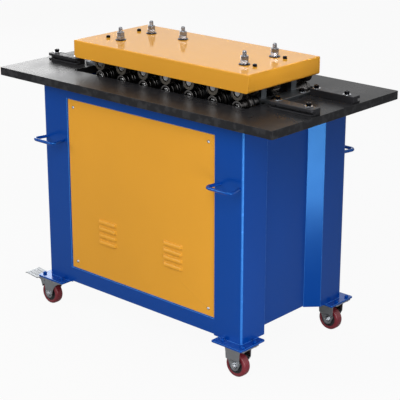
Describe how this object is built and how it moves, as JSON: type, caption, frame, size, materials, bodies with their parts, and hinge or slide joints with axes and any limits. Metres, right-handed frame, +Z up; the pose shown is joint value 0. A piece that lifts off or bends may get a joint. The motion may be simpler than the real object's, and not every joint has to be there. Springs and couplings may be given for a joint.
{
  "type": "duct seam closing machine",
  "caption": "Roll former for duct seams: a covered geared head of paired rolls in a black table with guides, on a blue and orange cabinet with handles and castors.",
  "frame": {"origin": "on the floor under the middle of the machine", "axes": "+X along the feed towards the delivery end, +Y towards the rear, +Z up"},
  "size_m": [1.2, 0.644, 1.003],
  "materials": {
    "blue_enamel": "semi-gloss powder coat",
    "orange_enamel": "gloss powder coat",
    "black_table": "semi-gloss, slightly polished by use",
    "black_oxide": "blackened, oiled",
    "bright_steel": "turned and ground",
    "zinc_steel": "zinc plated pressings",
    "bronze": "oiled bearing bronze",
    "head_casting": "machined and oiled",
    "gear_steel": "hobbed, oiled",
    "lower_roll_steel": "hardened, blackened",
    "upper_roll_steel": "hardened, ground faces",
    "guide_steel": "milled",
    "motor_enamel": "semi-gloss",
    "box_grey": "fine texture",
    "wheel_red": "polyurethane tread on a dark hub",
    "button_green": "gloss",
    "button_red": "gloss"
  },
  "bodies": {
    "root": {"cabinet": "blue_enamel", "front_panel": "orange_enamel", "rear_panel": "orange_enamel", "panel_screws": "bright_steel", "table_top": "black_table", "table_bolts": "black_oxide", "lower_housing": "head_casting", "lower_bushes": "bronze", "idler_pins": "bright_steel", "head_bolts": "black_oxide", "clamp_screws": "black_oxide", "guide_bolts": "black_oxide", "carry_handles": "blue_enamel", "castor_bolts": "zinc_steel", "rigid_forks": "zinc_steel", "swivel_plates": "zinc_steel", "gear_motor": "motor_enamel", "motor_beam": "blue_enamel", "control_box": "box_grey"},
    "head": {"upper_housing": "head_casting", "upper_bushes": "bronze", "head_cover": "orange_enamel", "cover_screws": "black_oxide", "cover_studs": "bright_steel"},
    "lower_roll_1": {"lower_roll_1": "lower_roll_steel"},
    "lower_roll_2": {"lower_roll_2": "lower_roll_steel"},
    "lower_roll_3": {"lower_roll_3": "lower_roll_steel"},
    "lower_roll_4": {"lower_roll_4": "lower_roll_steel"},
    "lower_roll_5": {"lower_roll_5": "lower_roll_steel"},
    "lower_roll_6": {"lower_roll_6": "lower_roll_steel"},
    "lower_roll_7": {"lower_roll_7": "lower_roll_steel"},
    "upper_roll_1": {"upper_roll_1": "upper_roll_steel"},
    "upper_roll_2": {"upper_roll_2": "upper_roll_steel"},
    "upper_roll_3": {"upper_roll_3": "upper_roll_steel"},
    "upper_roll_4": {"upper_roll_4": "upper_roll_steel"},
    "upper_roll_5": {"upper_roll_5": "upper_roll_steel"},
    "upper_roll_6": {"upper_roll_6": "upper_roll_steel"},
    "upper_roll_7": {"upper_roll_7": "upper_roll_steel"},
    "idler_gear_1": {"idler_gear_1": "gear_steel"},
    "idler_gear_2": {"idler_gear_2": "gear_steel"},
    "idler_gear_3": {"idler_gear_3": "gear_steel"},
    "idler_gear_4": {"idler_gear_4": "gear_steel"},
    "idler_gear_5": {"idler_gear_5": "gear_steel"},
    "idler_gear_6": {"idler_gear_6": "gear_steel"},
    "transfer_gear": {"transfer_gear": "gear_steel"},
    "drive_shaft": {"drive_shaft": "gear_steel"},
    "front_fixed_wheel": {"front_fixed_wheel": "wheel_red"},
    "front_swivel_fork": {"front_swivel_fork": "zinc_steel"},
    "front_swivel_wheel": {"front_swivel_wheel": "wheel_red"},
    "front_brake_pedal": {"front_brake_pedal": "zinc_steel"},
    "rear_fixed_wheel": {"rear_fixed_wheel": "wheel_red"},
    "rear_swivel_fork": {"rear_swivel_fork": "zinc_steel"},
    "rear_swivel_wheel": {"rear_swivel_wheel": "wheel_red"},
    "rear_brake_pedal": {"rear_brake_pedal": "zinc_steel"},
    "front_entry_guide": {"front_entry_guide": "guide_steel"},
    "rear_entry_guide": {"rear_entry_guide": "guide_steel"},
    "front_exit_guide": {"front_exit_guide": "guide_steel"},
    "rear_exit_guide": {"rear_exit_guide": "guide_steel"},
    "start_button": {"start_button": "button_green"},
    "stop_button": {"stop_button": "button_red"}
  },
  "joints": [
    {"name": "head_lift", "type": "slide", "parent": "root", "child": "head", "axis": [0, 0, 1], "range_m": [0, 0.0015]},
    {"name": "lower_spin_1", "type": "hinge", "parent": "root", "child": "lower_roll_1", "pos_m": [-0.258, 0, 0.85], "axis": [0, 1, 0], "continuous": true},
    {"name": "lower_spin_2", "type": "hinge", "parent": "root", "child": "lower_roll_2", "pos_m": [-0.158, 0, 0.85], "axis": [0, 1, 0], "continuous": true},
    {"name": "lower_spin_3", "type": "hinge", "parent": "root", "child": "lower_roll_3", "pos_m": [-0.058, 0, 0.85], "axis": [0, 1, 0], "continuous": true},
    {"name": "lower_spin_4", "type": "hinge", "parent": "root", "child": "lower_roll_4", "pos_m": [0.042, 0, 0.85], "axis": [0, 1, 0], "continuous": true},
    {"name": "lower_spin_5", "type": "hinge", "parent": "root", "child": "lower_roll_5", "pos_m": [0.142, 0, 0.85], "axis": [0, 1, 0], "continuous": true},
    {"name": "lower_spin_6", "type": "hinge", "parent": "root", "child": "lower_roll_6", "pos_m": [0.242, 0, 0.85], "axis": [0, 1, 0], "continuous": true},
    {"name": "lower_spin_7", "type": "hinge", "parent": "root", "child": "lower_roll_7", "pos_m": [0.342, 0, 0.85], "axis": [0, 1, 0], "continuous": true},
    {"name": "upper_spin_1", "type": "hinge", "parent": "head", "child": "upper_roll_1", "pos_m": [-0.258, 0, 0.895], "axis": [0, 1, 0], "continuous": true},
    {"name": "upper_spin_2", "type": "hinge", "parent": "head", "child": "upper_roll_2", "pos_m": [-0.158, 0, 0.895], "axis": [0, 1, 0], "continuous": true},
    {"name": "upper_spin_3", "type": "hinge", "parent": "head", "child": "upper_roll_3", "pos_m": [-0.058, 0, 0.895], "axis": [0, 1, 0], "continuous": true},
    {"name": "upper_spin_4", "type": "hinge", "parent": "head", "child": "upper_roll_4", "pos_m": [0.042, 0, 0.895], "axis": [0, 1, 0], "continuous": true},
    {"name": "upper_spin_5", "type": "hinge", "parent": "head", "child": "upper_roll_5", "pos_m": [0.142, 0, 0.895], "axis": [0, 1, 0], "continuous": true},
    {"name": "upper_spin_6", "type": "hinge", "parent": "head", "child": "upper_roll_6", "pos_m": [0.242, 0, 0.895], "axis": [0, 1, 0], "continuous": true},
    {"name": "upper_spin_7", "type": "hinge", "parent": "head", "child": "upper_roll_7", "pos_m": [0.342, 0, 0.895], "axis": [0, 1, 0], "continuous": true},
    {"name": "idler_spin_1", "type": "hinge", "parent": "root", "child": "idler_gear_1", "pos_m": [-0.208, 0, 0.85], "axis": [0, 1, 0], "continuous": true},
    {"name": "idler_spin_2", "type": "hinge", "parent": "root", "child": "idler_gear_2", "pos_m": [-0.108, 0, 0.85], "axis": [0, 1, 0], "continuous": true},
    {"name": "idler_spin_3", "type": "hinge", "parent": "root", "child": "idler_gear_3", "pos_m": [-0.008, 0, 0.85], "axis": [0, 1, 0], "continuous": true},
    {"name": "idler_spin_4", "type": "hinge", "parent": "root", "child": "idler_gear_4", "pos_m": [0.092, 0, 0.85], "axis": [0, 1, 0], "continuous": true},
    {"name": "idler_spin_5", "type": "hinge", "parent": "root", "child": "idler_gear_5", "pos_m": [0.192, 0, 0.85], "axis": [0, 1, 0], "continuous": true},
    {"name": "idler_spin_6", "type": "hinge", "parent": "root", "child": "idler_gear_6", "pos_m": [0.292, 0, 0.85], "axis": [0, 1, 0], "continuous": true},
    {"name": "transfer_spin", "type": "hinge", "parent": "root", "child": "transfer_gear", "pos_m": [-0.008, 0, 0.795], "axis": [0, 1, 0], "continuous": true},
    {"name": "drive_spin", "type": "hinge", "parent": "root", "child": "drive_shaft", "pos_m": [-0.008, 0, 0.73], "axis": [0, 1, 0], "continuous": true},
    {"name": "front_fixed_wheel_spin", "type": "hinge", "parent": "root", "child": "front_fixed_wheel", "pos_m": [0.419, -0.2435, 0.04], "axis": [0, 1, 0], "continuous": true},
    {"name": "front_swivel", "type": "hinge", "parent": "root", "child": "front_swivel_fork", "pos_m": [-0.419, -0.2435, 0.09], "axis": [0, 0, 1], "continuous": true},
    {"name": "front_swivel_wheel_spin", "type": "hinge", "parent": "front_swivel_fork", "child": "front_swivel_wheel", "pos_m": [-0.457, -0.2435, 0.04], "axis": [0, 1, 0], "continuous": true},
    {"name": "front_brake", "type": "hinge", "parent": "front_swivel_fork", "child": "front_brake_pedal", "pos_m": [-0.479, -0.2435, 0.086], "axis": [0, 1, 0], "range_deg": [0, 8]},
    {"name": "rear_fixed_wheel_spin", "type": "hinge", "parent": "root", "child": "rear_fixed_wheel", "pos_m": [0.419, 0.2435, 0.04], "axis": [0, 1, 0], "continuous": true},
    {"name": "rear_swivel", "type": "hinge", "parent": "root", "child": "rear_swivel_fork", "pos_m": [-0.419, 0.2435, 0.09], "axis": [0, 0, 1], "continuous": true},
    {"name": "rear_swivel_wheel_spin", "type": "hinge", "parent": "rear_swivel_fork", "child": "rear_swivel_wheel", "pos_m": [-0.457, 0.2435, 0.04], "axis": [0, 1, 0], "continuous": true},
    {"name": "rear_brake", "type": "hinge", "parent": "rear_swivel_fork", "child": "rear_brake_pedal", "pos_m": [-0.479, 0.2435, 0.086], "axis": [0, 1, 0], "range_deg": [0, 8]},
    {"name": "front_entry_guide_slide", "type": "slide", "parent": "root", "child": "front_entry_guide", "axis": [0, 1, 0], "range_m": [-0.005, 0.005]},
    {"name": "rear_entry_guide_slide", "type": "slide", "parent": "root", "child": "rear_entry_guide", "axis": [0, 1, 0], "range_m": [-0.005, 0.005]},
    {"name": "front_exit_guide_slide", "type": "slide", "parent": "root", "child": "front_exit_guide", "axis": [0, 1, 0], "range_m": [-0.005, 0.005]},
    {"name": "rear_exit_guide_slide", "type": "slide", "parent": "root", "child": "rear_exit_guide", "axis": [0, 1, 0], "range_m": [-0.005, 0.005]},
    {"name": "start_button_push", "type": "slide", "parent": "root", "child": "start_button", "axis": [1, 0, 0], "range_m": [0, 0.004], "stiffness_N_per_m": 500, "springref_m": -0.002},
    {"name": "stop_button_push", "type": "slide", "parent": "root", "child": "stop_button", "axis": [1, 0, 0], "range_m": [0, 0.004], "stiffness_N_per_m": 500, "springref_m": -0.002}
  ],
  "couplings": [
    {"joint": "lower_spin_2", "follows": "lower_spin_1", "ratio": 1},
    {"joint": "lower_spin_3", "follows": "lower_spin_1", "ratio": 1},
    {"joint": "lower_spin_4", "follows": "lower_spin_1", "ratio": 1},
    {"joint": "lower_spin_5", "follows": "lower_spin_1", "ratio": 1},
    {"joint": "lower_spin_6", "follows": "lower_spin_1", "ratio": 1},
    {"joint": "lower_spin_7", "follows": "lower_spin_1", "ratio": 1},
    {"joint": "upper_spin_1", "follows": "lower_spin_1", "ratio": -1},
    {"joint": "upper_spin_2", "follows": "lower_spin_1", "ratio": -1},
    {"joint": "upper_spin_3", "follows": "lower_spin_1", "ratio": -1},
    {"joint": "upper_spin_4", "follows": "lower_spin_1", "ratio": -1},
    {"joint": "upper_spin_5", "follows": "lower_spin_1", "ratio": -1},
    {"joint": "upper_spin_6", "follows": "lower_spin_1", "ratio": -1},
    {"joint": "upper_spin_7", "follows": "lower_spin_1", "ratio": -1},
    {"joint": "idler_spin_1", "follows": "lower_spin_1", "ratio": -0.81818},
    {"joint": "idler_spin_2", "follows": "lower_spin_1", "ratio": -0.81818},
    {"joint": "idler_spin_3", "follows": "lower_spin_1", "ratio": -0.81818},
    {"joint": "idler_spin_4", "follows": "lower_spin_1", "ratio": -0.81818},
    {"joint": "idler_spin_5", "follows": "lower_spin_1", "ratio": -0.81818},
    {"joint": "idler_spin_6", "follows": "lower_spin_1", "ratio": -0.81818},
    {"joint": "transfer_spin", "follows": "lower_spin_1", "ratio": 0.81818},
    {"joint": "drive_spin", "follows": "lower_spin_1", "ratio": -0.6}
  ]
}
